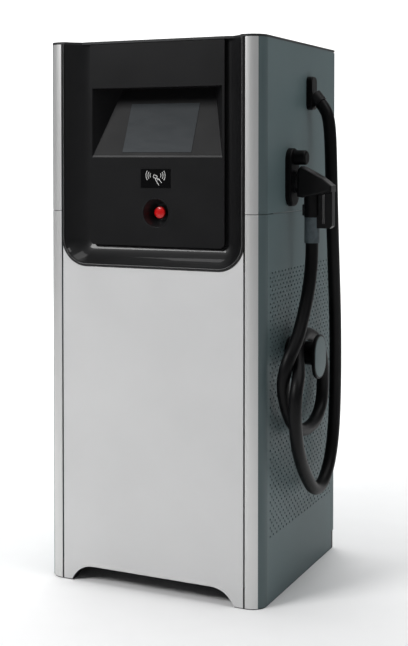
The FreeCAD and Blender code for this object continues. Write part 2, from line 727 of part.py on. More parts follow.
def control_board():
    """The controller's board on its spacers, with a few tall parts."""
    board = box(110, 270, equip_y - 14, equip_y - 12, 1120, 1380)
    posts = [rod(4, 12.5, (x, equip_y - 12.5, z), (0, 1, 0)) for x in (120, 260) for z in (1132, 1368)]
    chips = [box(x, x + w, equip_y - 14 - h, equip_y - 13.5, z, z + d)
             for x, z, w, d, h in ((125, 1150, 40, 60, 22), (185, 1150, 60, 30, 14), (140, 1260, 30, 30, 8), (200, 1300, 45, 50, 18))]
    return board.fuse(posts + chips)


# ---------------------------------------------------------------- cable outlet, hook and cable
def cable_gland():
    """A rounded block on the side panel, with a collar that aims the cable outwards and down."""
    block = slab(gland_w, gland_h, 20, (side, gland_y, gland_z), "yz", gland_t)
    return block.makeFillet(5, [e for e in block.Edges if min(v.X for v in e.Vertexes) > side + gland_t - 0.1])


relief_dir = (0.70, 0.0, -0.714)
cable_start = (side + 42, gland_y, 1600.0)
relief_len = 34.0


def strain_relief():
    """A tapered rubber sleeve from inside the block to where the cable comes free."""
    x, y, z = cable_start
    dx, dy, dz = relief_dir
    at = V(x - dx * relief_len, y, z - dz * relief_len)
    cone = Part.makeCone(27, cable_r + 3, relief_len, at, V(*relief_dir))
    first, second = (V(side + out, y, z) for out, y, z in cable_route[:2])
    beyond = Part.makeCylinder(60, 60, first, second - first)
    return cone.cut(cable_gland()).cut(box(side - 50, side, -side, side, 1400, 1800)).cut(beyond)


# Centreline of the cable, as the distance out from the side panel, y and z: from the outlet down the
# back, round the low bend, up the front and over the drum, round the small loop, up to the connector.
cable_route = [
    (42, 80, 1600), (60, 80, 1577), (71, 80, 1544), (77, 80, 1480), (80, 80, 1370),
    (81, 88, 1220), (75, 122, 1050), (67, 163, 880), (61, 186, 730), (57, 194, 590),
    (56, 184, 472), (56, 150, 380), (56, 98, 324), (56, 38, 302), (57, -24, 312), (60, -88, 358),
    (67, -155, 417), (76, -216, 476), (84, -263, 546), (90, -290, 622), (93, -284, 690),
    (86, -238, 737), (58, -187, 783), (48, -148, 830), (48, -90, 842), (48, -20, 828), (47, 50, 788),
    (46, 92, 728), (44, 104, 650), (44, 92, 578), (44, 36, 532), (44, -45, 518), (44, -120, 527),
    (44, -188, 560), (41, -236, 620), (38, -264, 698), (54, -265, 772), (69, -220, 832),
    (72, -179, 888), (76, -128, 985), (78, -103, 1080), (78, -103, 1139),
]


def cable_path():
    """Straight runs joined by tangent arcs, each as large as its two runs allow. Also gives the length."""
    points = [V(side + out, y, z) for out, y, z in cable_route]
    edges, radii = [], []
    last = points[0]
    for before, here, after in zip(points, points[1:], points[2:]):
        a, b = here - before, after - here
        turn = a.getAngle(b)
        cut = 0.45 * min(a.Length, b.Length)
        radii.append(cut / math.tan(turn / 2))
        a.normalize()
        b.normalize()
        start, end = here - a * cut, here + b * cut
        toward = (b - a).normalize()
        sag = radii[-1] * (1 / math.cos(turn / 2) - 1)
        edges.append(Part.LineSegment(last, start).toShape())
        edges.append(Part.Arc(start, here + toward * sag, end).toShape())
        last = end
    edges.append(Part.LineSegment(last, points[-1]).toShape())
    return Part.Wire(edges), radii


def charging_cable():
    wire, radii = cable_path()
    first = wire.Edges[0]
    way = first.tangentAt(first.FirstParameter)
    ring = Part.Wire(Part.Circle(first.valueAt(first.FirstParameter), way, cable_r).toShape())
    pipe = wire.makePipeShell([ring], True, False)
    length = wire.Length
    print("cable: length %.0f, smallest radius %.0f, radii in diameters:" % (length, min(radii)),
          " ".join("%.1f" % (r / (2 * cable_r)) for r in radii))
    print("cable: volume %.0f, section times length %.0f" % (pipe.Volume, math.pi * cable_r ** 2 * length))
    return pipe


def hook_drum():
    """The drum that carries the cable, with a wide foot on the panel."""
    drum = rod(hook_r, hook_len, (side, hook_y, hook_z), (1, 0, 0))
    foot = rod(hook_r + 12, 6, (side, hook_y, hook_z), (1, 0, 0))
    return drum.fuse(foot)


def hook_plate():
    """The upright end plate that keeps the cable on the drum."""
    x = side + hook_len
    plate = slab(hook_plate_w, hook_plate_h, 54, (x, hook_y, hook_plate_z), "yz", hook_plate_t)
    return plate.makeFillet(3, [e for e in plate.Edges if min(v.X for v in e.Vertexes) > x + hook_plate_t - 0.1])


# ---------------------------------------------------------------- holster and connector
nose_end = 2.0          # the nose stops this far outside the side panel


def holster_plate():
    """The stadium-shaped plate, with the socket's hole through it."""
    plate = slab(hol_w, hol_h, hol_w / 2 - 0.1, (side, hol_y, hol_z), "yz", hol_t)
    plate = plate.makeFillet(5, [e for e in plate.Edges if min(v.X for v in e.Vertexes) > side + hol_t - 0.1])
    return plate.cut(rod(nose_r + sock_gap + 3, hol_t + 2, (side - 1, hol_y, sock_z), (1, 0, 0)))


def holster_socket():
    """A cup for the connector's nose. Its floor is behind the side panel."""
    r = nose_r + sock_gap
    cup = rod(r + 3, 38 + hol_t + 10, (side - 38, hol_y, sock_z), (1, 0, 0))
    cup = cup.fuse(tube(r + 8, r + 2, 10, (side + hol_t, hol_y, sock_z), (1, 0, 0)))
    return cup.cut(rod(r, 38 + hol_t + 20, (side - 35, hol_y, sock_z), (1, 0, 0)))


def holster_hood():
    """The rain hood over the socket: a short round nose."""
    nose = rod(hood_r, hood_out - hol_t, (side + hol_t, hol_y, hood_z), (1, 0, 0))
    end = [e for e in nose.Edges if e.BoundBox.XMin > side + hood_out - 0.1]
    nose = nose.makeFillet(8, end)
    clear = rod(nose_r + 13, hood_out, (side + hol_t - 1, hol_y, sock_z), (1, 0, 0))
    return nose.cut(clear)


def connector_body():
    """The whole connector body: slanted housing, upright neck and D-shaped grip, before it is split."""
    y0, y1 = hol_y - 27, hol_y + 27
    x = side
    profile = [(34, 1289), (36, 1378), (48, 1389), (118, 1352), (151, 1326), (151, 1306), (124, 1302),
               (105, 1296), (51, 1286)]
    body = prism([(x + p, y0, z) for p, z in profile], (0, y1 - y0, 0))
    cross = [e for e in body.Edges if abs(e.Vertexes[0].Z - e.Vertexes[-1].Z) > 8 or abs(e.Vertexes[0].X - e.Vertexes[-1].X) > 8]
    body = body.makeFillet(7, [e for e in cross if e.BoundBox.YLength < 1])
    neck = rod(tube_r, 1300 - boot_z1, (x + tube_out, hol_y, boot_z1), (0, 0, 1))
    grip_y0, grip_y1 = hol_y - 14, hol_y + 14
    outer = [(104, 1310), (grip_out1, 1318), (grip_out1, 1196), (143, 1188), (96, 1188), (96, 1226), (104, 1230)]
    inner = [(117, 1295), (grip_out0, 1298), (grip_out0, 1203), (117, 1203)]
    grip = prism([(x + p, grip_y0, z) for p, z in outer], (0, grip_y1 - grip_y0, 0))
    grip = grip.cut(prism([(x + p, grip_y0 - 1, z) for p, z in inner], (0, grip_y1 - grip_y0 + 2, 0)))
    sleeve = rod(boot_r + 0.5, boot_z1 - 1180, (x + tube_out, hol_y, 1180), (0, 0, 1))
    return body.fuse([neck, grip.cut(sleeve)])


trigger_z = 1246.0
tail_drop = 3.0         # the nose's tail sits this much lower than the nose


def connector_shells():
    """The two halves, split on the connector's middle plane, hollow where the contacts and wires run."""
    body = connector_body()
    bore = rod(nose_r - 4, 60, (side + 30, hol_y, sock_z - tail_drop), (1, 0, 0))
    wires = rod(tube_r - 4, 1325 - boot_z1 + 1, (side + tube_out, hol_y, boot_z1 - 1), (0, 0, 1))
    slot = box(side + 40, side + 66, hol_y - 8.5, hol_y + 8.5, trigger_z - 18.5, trigger_z + 18.5)
    hollow = body.cut(bore.fuse(wires)).cut(slot)
    near = hollow.common(box(side, side + 300, hol_y - 99, hol_y, 1100, 1500))
    far = hollow.common(box(side, side + 300, hol_y, hol_y + 99, 1100, 1500))
    return near, far


def connector_nose():
    """The insulating nose with its contact holes, pushed into the socket."""
    nose = rod(nose_r, 34 - nose_end, (side + nose_end, hol_y, sock_z), (1, 0, 0))
    tail = rod(nose_r - 4, 44, (side + 33, hol_y, sock_z - tail_drop), (1, 0, 0))
    nose = nose.fuse(tail)
    for dy, dz, r in contact_places:
        nose = nose.cut(rod(r + 1.5, 24, (side + nose_end - 1, hol_y + dy, sock_z + dz), (1, 0, 0)))
    return nose


contact_places = ((-10, 4, 4.5), (10, 4, 4.5), (0, 15, 3.0), (-7, -12, 2.0), (0, -15, 2.0), (7, -12, 2.0))


def contact_pins():
    return [rod(r, 20, (side + nose_end + 3, hol_y + dy, sock_z + dz), (1, 0, 0)) for dy, dz, r in contact_places]


def trigger():
    """The release button on the inner side of the neck, a rocker-shaped key."""
    key = box(side + 46, side + 60, hol_y - 8, hol_y + 8, trigger_z - 18, trigger_z + 18)
    return key.makeFillet(4, [e for e in key.Edges if e.BoundBox.XMax < side + 46.1])


def connector_boot():
    """The grey sleeve between the neck and the cable."""
    length = boot_z1 - boot_z0
    boot = Part.makeCone(boot_r, boot_r - 0.5, length - 0.6, V(side + tube_out, hol_y, boot_z0 + 0.6), V(0, 0, 1))
    return boot


def main():
    os.makedirs("parts", exist_ok=True)
    save("plinth_frame", plinth_frame())
    save("floor_plate", floor_plate())
    save("cable_entry_plate", cable_entry_plate())
    save("inner_frame", inner_frame())
    low = (ground_gap, seam_z - seam_gap / 2)
    high = (seam_z + seam_gap / 2, roof_under)
    for level, (z0, z1) in (("lower", low), ("upper", high)):
        save(level + "_column_right", column(z0, z1))
        save(level + "_column_left", mirror(column(z0, z1)))
        save(level + "_trim_right", trim(z0, z1))
        save(level + "_trim_left", mirror(trim(z0, z1)))
    upper = side_panel(*high, False)
    upper_right = upper.cut(rod(nose_r + sock_gap + 4, 10, (side - 5, hol_y, sock_z), (1, 0, 0)))
    save("upper_side_panel_right", upper_right)
    save("upper_side_panel_left", mirror(upper))
    lower = side_panel(*low, True)
    save("lower_side_panel_right", lower)
    save("lower_side_panel_left", mirror(lower))
    save("front_panel", front_panel())
    save("fascia_bezel", fascia_bezel())
    save("operator_panel", operator_panel())
    save("screen_recess", screen_recess())
    save("screen_glass", slope_box(glass_w, glass_h, -glass_t + glass_proud, glass_proud, glass_z0))
    save("screen_module", slope_box(glass_w + 16, glass_h + 16, -display_t, -glass_t + glass_proud, glass_z0 - 8)
         .cut(recess(recess_t, front + panel_y)))
    save("card_reader", box(-reader_w / 2, reader_w / 2, front + panel_y - 1, front + panel_y - 1 + reader_t,
                            reader_z - reader_h / 2, reader_z + reader_h / 2))
    save("estop_dish", estop_dish())
    save("estop_block", estop_block())
    save("estop_stem", estop_stem())
    save("estop_head", estop_head())
    save("top_cover", top_cover())
    save("rear_door", rear_door())
    fixed, moving = door_hinges()
    save("hinge_leaves_fixed", *fixed)
    save("hinge_leaves_door", *moving)
    save("door_handle", door_handle())
    save("lock_cam", lock_cam())
    save("fan_plate", fan_plate())
    for k, z in enumerate(fan_zs):
        save("fan_frame_%d" % (k + 1), fan_frame(z))
        save("fan_rotor_%d" % (k + 1), fan_rotor(z))
    save("module_rack", module_rack())
    for k in range(module_count):
        save("power_module_%d" % (k + 1), power_module(k))
    save("equipment_plate", equipment_plate())
    save("main_breaker", main_breaker())
    save("breaker_lever", breaker_lever())
    save("control_board", control_board())
    save("cable_gland", cable_gland())
    save("strain_relief", strain_relief())
    save("charging_cable", charging_cable())
    save("hook_drum", hook_drum())
    save("hook_plate", hook_plate())
    save("holster_plate", holster_plate())
    save("holster_socket", holster_socket())
    save("holster_hood", holster_hood())
    near, far = connector_shells()
    save("connector_shell_near", near)
    save("connector_shell_far", far)
    save("connector_nose", connector_nose())
    save("contact_pins", *contact_pins())
    save("connector_trigger", trigger())
    save("connector_boot", connector_boot())


main()
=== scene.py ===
import math

import bpy
import numpy as np
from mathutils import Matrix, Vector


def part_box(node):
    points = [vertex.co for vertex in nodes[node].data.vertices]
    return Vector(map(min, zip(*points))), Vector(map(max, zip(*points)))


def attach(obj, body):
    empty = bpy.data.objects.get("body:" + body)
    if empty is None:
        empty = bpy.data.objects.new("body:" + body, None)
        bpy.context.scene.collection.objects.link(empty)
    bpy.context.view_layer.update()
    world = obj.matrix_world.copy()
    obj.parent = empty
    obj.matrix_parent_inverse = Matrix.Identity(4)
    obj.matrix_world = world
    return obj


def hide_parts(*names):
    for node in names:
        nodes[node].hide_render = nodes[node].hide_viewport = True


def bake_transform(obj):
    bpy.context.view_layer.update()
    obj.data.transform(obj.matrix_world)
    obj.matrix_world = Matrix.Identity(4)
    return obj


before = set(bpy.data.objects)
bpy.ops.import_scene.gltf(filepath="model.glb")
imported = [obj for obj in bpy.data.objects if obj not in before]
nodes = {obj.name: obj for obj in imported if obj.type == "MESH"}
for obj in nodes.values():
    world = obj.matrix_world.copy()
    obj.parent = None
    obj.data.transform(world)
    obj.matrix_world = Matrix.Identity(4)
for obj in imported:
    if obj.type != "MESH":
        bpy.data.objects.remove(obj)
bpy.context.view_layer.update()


# ---- Corner trims -------------------------------------------------------------------------------
# Thin silver strips that wrap the front corners from foot to roof, with an open joint at mid height.
# Extruded aluminium, satin anodised: fine draw lines run up the strip. Clipped over the columns.
def linear(code):
    """A hex sRGB colour as linear RGBA: each channel is ((c + 0.055) / 1.055) to the power 2.4."""
    channels = [int(code[i:i + 2], 16) / 255 for i in (0, 2, 4)]
    return tuple([c / 12.92 if c <= 0.04045 else ((c + 0.055) / 1.055) ** 2.4 for c in channels] + [1.0])


def add(tree, kind, inputs=None, **settings):
    """Adds a shader node, sets its properties, and fills or links its inputs by name or number."""
    made = tree.nodes.new("ShaderNode" + kind)
    for key, value in settings.items():
        setattr(made, key, value)
    for key, value in (inputs or {}).items():
        if isinstance(value, bpy.types.NodeSocket):
            tree.links.new(value, made.inputs[key])
        else:
            made.inputs[key].default_value = value
    return made


def start_material(name):
    """A material with only its output, and a point in metres in the object's own frame to read from."""
    made = bpy.data.materials.new(name)
    made.use_nodes = True
    made.node_tree.nodes.clear()
    tree = made.node_tree
    return made, tree, add(tree, "TexCoord").outputs["Object"]


def shade(code, part):
    """A hex colour times a factor, as linear RGBA."""
    return tuple(min(1, part * c) for c in linear(code)[:3]) + (1,)


def ramp(tree, value, low, high, stops=(0.0, 1.0)):
    """A colour that runs from low to high as the value rises from one stop to the other."""
    made = add(tree, "ValToRGB", {"Fac": value})
    for element, colour, stop in zip(made.color_ramp.elements, (low, high), stops):
        element.position = stop
        element.color = colour
    return made.outputs[0]


def spread(tree, value, low, high):
    """The value, from 0 to 1, carried to the range from low to high."""
    return add(tree, "MapRange", {"Value": value, "To Min": low, "To Max": high}).outputs[0]


def relief(tree, height, strength, distance, edge):
    """A height turned into a bump, on edges that look rounded by the radius edge."""
    soft = add(tree, "Bevel", {"Radius": edge}, samples=4)
    return add(tree, "Bump", {"Height": height, "Strength": strength, "Distance": distance,
                              "Normal": soft.outputs[0]}).outputs[0]


def end_material(made, tree, colour, rough, normal=None, **more):
    """Joins colour, roughness and bump in one shader; more holds its other inputs, with _ for spaces."""
    inputs = {"Base Color": colour, "Roughness": rough}
    if normal is not None:
        inputs["Normal"] = normal
    inputs.update({key.replace("_", " "): value for key, value in more.items()})
    shader = add(tree, "BsdfPrincipled", inputs)
    tree.links.new(shader.outputs[0], add(tree, "OutputMaterial").inputs["Surface"])
    return made


def anodised(name, colour, rough):
    """Drawn aluminium: noise squeezed across the strip and stretched along it, in gloss and height."""
    made, tree, point = start_material(name)
    drawn = add(tree, "Mapping", {"Vector": point, "Scale": (900.0, 900.0, 3.0)})
    lines = add(tree, "TexNoise", {"Vector": drawn.outputs[0], "Scale": 1.0, "Detail": 3.0}).outputs["Fac"]
    wide = add(tree, "TexNoise", {"Vector": point, "Scale": 2.2, "Detail": 2.0}).outputs["Fac"]
    return end_material(made, tree, ramp(tree, wide, shade(colour, 0.93), shade(colour, 1.0)),
                        spread(tree, lines, rough - 0.05, rough + 0.07),
                        relief(tree, lines, 0.12, 0.0002, 0.0008), Metallic=0.72)


def dress(material, *names):
    """Gives CAD nodes a finish in place of their flat one."""
    for name in names:
        mesh = nodes[name].data
        mesh.materials.clear()
        mesh.materials.append(material)


trim_metal = anodised("satin_anodised_trim", "D6D6D5", 0.42)
dress(trim_metal, "lower_trim_left", "lower_trim_right", "upper_trim_left", "upper_trim_right")


# ---- Front panel --------------------------------------------------------------------------------
# One folded steel sheet below the fascia, cut to an arch at its foot. Silver metallic powder coat:
# a fine sparkle of flakes in a matt film, with the slight unevenness that a sprayed film has.
def metallic_coat(name, colour, rough):
    """Flakes are small cells of random value that lighten the film; a broad noise clouds it."""
    made, tree, point = start_material(name)
    flakes = add(tree, "TexVoronoi", {"Vector": point, "Scale": 1600.0})
    clouds = add(tree, "TexNoise", {"Vector": point, "Scale": 3.0, "Detail": 3.0}).outputs["Fac"]
    level = add(tree, "Math", {0: flakes.outputs["Color"], 1: 0.12}, operation="MULTIPLY")
    mixed = add(tree, "Math", {0: clouds, 1: level.outputs[0]}, operation="ADD").outputs[0]
    peel = add(tree, "TexNoise", {"Vector": point, "Scale": 420.0, "Detail": 2.0}).outputs["Fac"]
    return end_material(made, tree, ramp(tree, mixed, shade(colour, 0.9), shade(colour, 1.05)),
                        spread(tree, clouds, rough - 0.04, rough + 0.04),
                        relief(tree, peel, 0.10, 0.0003, 0.0012), Metallic=0.25)


dress(metallic_coat("silver_powder_coat", "D2D2D2", 0.5), "front_panel")


# ---- Side panels, rear door and columns ---------------------------------------------------------
# Flat 2 mm steel sides, the lower ones pierced for air, a steel rear door, and extruded corner
# columns. All are slate powder coat: matt, with the dense fine texture of an outdoor coating.
def powder_coat(name, colour, rough, grain=1100.0, depth=0.25):
    """Texture paint: round grains from cell distance over a noise, and a broad cloud in the colour."""
    made, tree, point = start_material(name)
    grains = add(tree, "TexVoronoi", {"Vector": point, "Scale": grain}, feature="SMOOTH_F1")
    noise = add(tree, "TexNoise", {"Vector": point, "Scale": grain * 0.4, "Detail": 3.0}).outputs["Fac"]
    height = add(tree, "Math", {0: grains.outputs["Distance"], 1: noise}, operation="ADD").outputs[0]
    clouds = add(tree, "TexNoise", {"Vector": point, "Scale": 1.7, "Detail": 4.0}).outputs["Fac"]
    return end_material(made, tree, ramp(tree, clouds, shade(colour, 0.88), shade(colour, 1.08), (0.3, 0.7)),
                        spread(tree, noise, rough - 0.08, rough + 0.08),
                        relief(tree, height, depth, 0.0003, 0.001))


slate = powder_coat("slate_powder_coat", "566769", 0.55)
slate_dark = powder_coat("slate_column_coat", "4C5B5D", 0.5)
dress(slate, "lower_side_panel_left", "lower_side_panel_right", "upper_side_panel_left",
      "upper_side_panel_right", "rear_door")
dress(slate_dark, "lower_column_left", "lower_column_right", "upper_column_left", "upper_column_right")


# ---- Plinth, floor and roof ---------------------------------------------------------------------
# A welded base frame with the arch for lifting forks, the floor sheets on it and the flat roof cover.
# Steel with a black powder coat of a slightly coarser grain.
black_coat = powder_coat("black_powder_coat", "1A1B1C", 0.5, grain=900.0)
dress(black_coat, "plinth_frame", "floor_plate", "cable_entry_plate", "top_cover")


# ---- Fascia -------------------------------------------------------------------------------------
# A deep U-shaped bezel, moulded in black with a satin skin. A rounded rim stands out of the front
# panel, and a smooth dish runs from it down to a flat floor round the operator panel.
fascia_low, fascia_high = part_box("fascia_bezel")
fascia_half = fascia_high.x
rim_y = fascia_low.y
front_y = rim_y + 0.003
rear_y = fascia_high.y
rim_corner = 0.092
dish_start, dish_end, dish_floor = 0.010, 0.084, 0.055


def grid_mesh(name, points, close_u=False, close_v=False):
    """Turns an array of points, rows by columns, into a surface of four-sided faces."""
    rows, columns = points.shape[:2]
    index = np.arange(rows * columns).reshape(rows, columns)
    u = np.arange(rows if close_u else rows - 1)
    v = np.arange(columns if close_v else columns - 1)
    uu, vv = np.meshgrid(u, v, indexing="ij")
    u1, v1 = (uu + 1) % rows, (vv + 1) % columns
    faces = np.stack([index[uu, vv], index[u1, vv], index[u1, v1], index[uu, v1]], axis=-1).reshape(-1, 4)
    mesh = bpy.data.meshes.new(name)
    mesh.vertices.add(rows * columns)
    mesh.vertices.foreach_set("co", points.reshape(-1).astype(np.float32))
    mesh.loops.add(faces.size)
    mesh.loops.foreach_set("vertex_index", faces.reshape(-1).astype(np.int32))
    mesh.polygons.add(len(faces))
    mesh.polygons.foreach_set("loop_start", np.arange(0, faces.size, 4, dtype=np.int32))
    mesh.polygons.foreach_set("use_smooth", np.ones(len(faces), bool))
    mesh.update(calc_edges=True)
    return mesh


def show(name, mesh, material, body, *stands_for):
    """Makes a mesh a finished piece that rides on a body, in place of the CAD nodes named."""
    piece = bpy.data.objects.new(name, mesh)
    bpy.context.scene.collection.objects.link(piece)
    mesh.materials.append(material)
    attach(piece, body)
    if stands_for:
        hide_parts(*stands_for)
    return piece


def fascia_profile():
    """Inset from the rim's outer edge and depth y, from the rear of the outer wall over a rounded rim,
    down the dish, whose depth is floor times 1 - ((end - inset) / width) squared, to the floor's lip."""
    wall = np.stack([np.zeros(8), np.linspace(rear_y, rim_y + 0.003, 8)], axis=1)
    turn = np.linspace(0, math.pi / 2, 8)
    shoulder = np.stack([0.003 - 0.003 * np.cos(turn), rim_y + 0.003 - 0.003 * np.sin(turn)], axis=1)
    flat = np.stack([np.linspace(0.0035, 0.0075, 4), np.full(4, rim_y)], axis=1)
    ease = np.linspace(0, 1, 12)
    roll = np.stack([0.0075 + 0.0035 * ease, rim_y + 0.0046 * ease ** 2], axis=1)
    inset = np.linspace(0.0118, dish_end, 44)
    bowl = front_y + dish_floor * (1 - ((dish_end - inset) / (dish_end - dish_start)) ** 2)
    bowl = np.stack([inset, bowl], axis=1)
    floor = np.stack([np.linspace(dish_end + 0.002, 0.0935, 4), np.full(4, front_y + dish_floor)], axis=1)
    lip = np.stack([np.full(3, 0.094), front_y + dish_floor + np.linspace(0.0005, 0.004, 3)], axis=1)
    return np.concatenate([wall, shoulder, flat, roll, bowl, floor, lip])


def fascia_surface():
    """The profile carried round the U. A point at inset d lies on the straight sides at half width
    minus d, on the foot at bottom plus d, and in each corner on an arc of radius corner minus d."""
    profile = fascia_profile()
    d, y = profile[:, 0][None, :], profile[:, 1][None, :]
    low, top = fascia_low.z, fascia_high.z
    down = np.linspace(top, low + rim_corner, 30)[:, None]
    left = np.stack(np.broadcast_arrays(-(fascia_half - d), y, down), axis=-1)
    turn = np.linspace(0, math.pi / 2, 26)[1:-1, None]
    # past the corner radius the inner points meet on the corner's mitre instead of crossing over
    radius = np.maximum(rim_corner - d, 0.0)
    over = np.maximum(d - rim_corner, 0.0)
    cx, cz = fascia_half - rim_corner, low + rim_corner
    left_arc = np.stack(np.broadcast_arrays(-cx - radius * np.cos(turn) + over, y,
                                            cz - radius * np.sin(turn) + over), axis=-1)
    across = np.linspace(-cx, cx, 40)[:, None]
    squeeze = (cx - over) / cx
    foot = np.stack(np.broadcast_arrays(across * squeeze, y, low + d), axis=-1)
    right_arc = left_arc[::-1] * np.array([-1, 1, 1])
    right = left[::-1] * np.array([-1, 1, 1])
    left[..., 2] = np.maximum(left[..., 2], cz + over)
    right[..., 2] = np.maximum(right[..., 2], cz + over)
    return np.concatenate([left, left_arc, foot, right_arc, right])


def moulded(name, colour, rough, grain=1500.0, depth=0.12, coat=0.0, edge=0.0008, gleam=0.3):
    """Moulded plastic: a fine even grain in height, and a broad noise in gloss and a little in colour."""
    made, tree, point = start_material(name)
    skin = add(tree, "TexNoise", {"Vector": point, "Scale": grain, "Detail": 2.0}).outputs["Fac"]
    broad = add(tree, "TexNoise", {"Vector": point, "Scale": 9.0, "Detail": 4.0}).outputs["Fac"]
    return end_material(made, tree, ramp(tree, broad, shade(colour, 0.85), shade(colour, 1.12)),
                        spread(tree, broad, rough - 0.06, rough + 0.06),
                        relief(tree, skin, depth, 0.0002, edge), Coat_Weight=coat, Specular_IOR_Level=gleam)


fascia_skin = moulded("satin_black_fascia", "131314", 0.42, coat=0.32, gleam=0.2)
fascia = show("fascia", grid_mesh("fascia", fascia_surface()), fascia_skin, "cabinet", "fascia_bezel")
dress(moulded("operator_panel_black", "131314", 0.4, gleam=0.18), "operator_panel")
dress(moulded("recess_black", "121213", 0.5, gleam=0.15), "screen_recess")


# ---- Screen -------------------------------------------------------------------------------------
# A flat touch screen on the sloping face of its recess. Matt glass over a dark display, with faint wiping
# marks in its gloss and painted shade darkening it towards the top, under the recess's overhang; the display
# unit behind it is a black sheet-metal box.
def screen_glass():
    """Dark glass, darker towards the top of the pane as painted shade from the recess's overhang, and
    streaks in gloss from a stretched noise.
    """
    made, tree, point = start_material("coated_screen_glass")
    height = add(tree, "SeparateXYZ", {"Vector": point}).outputs["Z"]
    # painted shade: the glass tone darkens from 1.43 m to 1.60 m height, as under the recess's overhang
    painted_shade_rise = add(tree, "MapRange", {"Value": height, "From Min": 1.43, "From Max": 1.60}).outputs[0]
    wiped = add(tree, "Mapping", {"Vector": point, "Scale": (14.0, 14.0, 60.0), "Rotation": (0, 0.5, 0)})
    smear = add(tree, "TexNoise", {"Vector": wiped.outputs[0], "Scale": 1.0, "Detail": 4.0}).outputs["Fac"]
    return end_material(made, tree, ramp(tree, painted_shade_rise, linear("33373A"), linear("2E3235")),
                        spread(tree, smear, 0.42, 0.55), Specular_IOR_Level=0.12)


dress(screen_glass(), "screen_glass")
dress(black_coat, "screen_module")


# ---- Card reader --------------------------------------------------------------------------------
# A black acrylic window, set a millimetre proud. Its sign is printed in white: waves on both sides
# of a small card held between finger and thumb.
dress(moulded("reader_acrylic", "040405", 0.35, grain=400.0, depth=0.02, gleam=0.08), "card_reader")
reader_low, reader_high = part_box("card_reader")
reader_mid = (reader_low + reader_high) / 2
white_print = moulded("white_print", "E4E4E2", 0.5, grain=2500.0)


def ribbon(name, line, width, y):
    """A flat printed line: the path shifted half its width to each side along its own normal."""
    way = np.gradient(line, axis=0)
    way = way / np.linalg.norm(way, axis=1, keepdims=True)
    normal = np.stack([-way[:, 1], way[:, 0]], axis=1)
    sides = np.stack([line - normal * width / 2, line + normal * width / 2], axis=1)
    points = np.stack([sides[..., 0], np.full(sides.shape[:2], y), sides[..., 1]], axis=-1)
    return grid_mesh(name, points)


def reader_sign():
    """Arcs of growing radius on each side, and a card outline with three finger lines under it."""
    y = reader_low.y - 0.0002
    cx, cz = reader_mid.x, reader_mid.z + 0.010
    lines = []
    for side in (-1, 1):
        for radius in (0.011, 0.0185, 0.026):
            a = np.linspace(-0.62, 0.62, 17)
            x = cx + side * (0.009 + radius * np.cos(a))
            lines.append(np.stack([x, cz + radius * np.sin(a)], axis=1))
    t = np.linspace(0, 2 * math.pi, 41)
    outline = np.stack([np.cos(t), np.sin(t)], axis=1)
    card = np.clip(1.25 * outline, -1, 1) * (0.0065, 0.0045)
    turn = math.radians(-24)
    card = card @ np.array([[math.cos(turn), math.sin(turn)], [-math.sin(turn), math.cos(turn)]])
    lines.append(card + np.array([cx - 0.001, cz - 0.004]))
    s = np.linspace(0, 1, 14)
    lines.append(np.stack([cx + 0.003 + 0.020 * s, cz - 0.008 - 0.016 * s ** 1.4], axis=1))
    lines.append(np.stack([cx - 0.001 + 0.014 * s, cz - 0.011 - 0.021 * s ** 0.8], axis=1))
    lines.append(np.stack([cx + 0.006 + 0.010 * s, cz - 0.015 + 0.004 * np.sin(3.0 * s)], axis=1))
    stroke = 0.0017
    return [ribbon("sign_%d" % k, line, stroke, y) for k, line in enumerate(lines)]


for sign in reader_sign():
    show(sign.name, sign, white_print, "cabinet")


# ---- Emergency stop -----------------------------------------------------------------------------
# A red mushroom head in a round spun dish. The head is moulded, glossy, with a fluted rim for
# twisting it free; its shaft is steel, and the contact block behind it is black plastic.
def stop_head():
    """A turned profile carried round the axis; the rim's radius swells and sinks with 30 flutes."""
    low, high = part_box("estop_head")
    r, depth = (high.x - low.x) / 2, high.y - low.y
    across = np.linspace(0, 1, 16)
    dome = np.stack([across * (r - 0.0035), low.y + 0.0026 * across ** 2.2], axis=1)
    turn = np.linspace(0.15, math.pi / 2, 8)
    shoulder = np.stack([r - 0.0035 + 0.0035 * np.sin(turn), low.y + 0.0066 - 0.004 * np.cos(turn)], axis=1)
    rim = np.stack([np.full(4, r), low.y + np.linspace(0.007, 0.0092, 4)], axis=1)
    waist = np.linspace(0, 1, 8)
    back = np.stack([r - 0.0065 * waist ** 0.7, low.y + 0.0095 + (depth - 0.0095) * waist], axis=1)
    inner = np.stack([np.linspace(r - 0.0068, 0.0061, 4), np.full(4, high.y)], axis=1)
    profile = np.concatenate([dome, shoulder, rim, back, inner])
    a = np.linspace(0, 2 * math.pi, 240, endpoint=False)[:, None]
    weight = np.clip((profile[:, 0] / r - 0.86) / 0.1, 0, 1)[None, :]
    radius = profile[:, 0][None, :] - 0.0006 * weight * (0.5 + 0.5 * np.cos(30 * a))
    mid = (low + high) / 2
    points = np.stack([mid.x + radius * np.cos(a), np.broadcast_to(profile[:, 1][None, :], radius.shape),
                       mid.z + radius * np.sin(a)], axis=-1)
    return grid_mesh("stop_head", points[:, ::-1], close_u=True)


stop_red = moulded("stop_red", "C80A0E", 0.25, grain=900.0, depth=0.03, coat=0.3)
show("stop_head", stop_head(), stop_red, "stop_head", "estop_head")
dress(moulded("stop_dish_grey", "1C1D1E", 0.3, coat=0.1, gleam=0.25), "estop_dish")
dress(moulded("contact_block_black", "1C1C1E", 0.45), "estop_block")


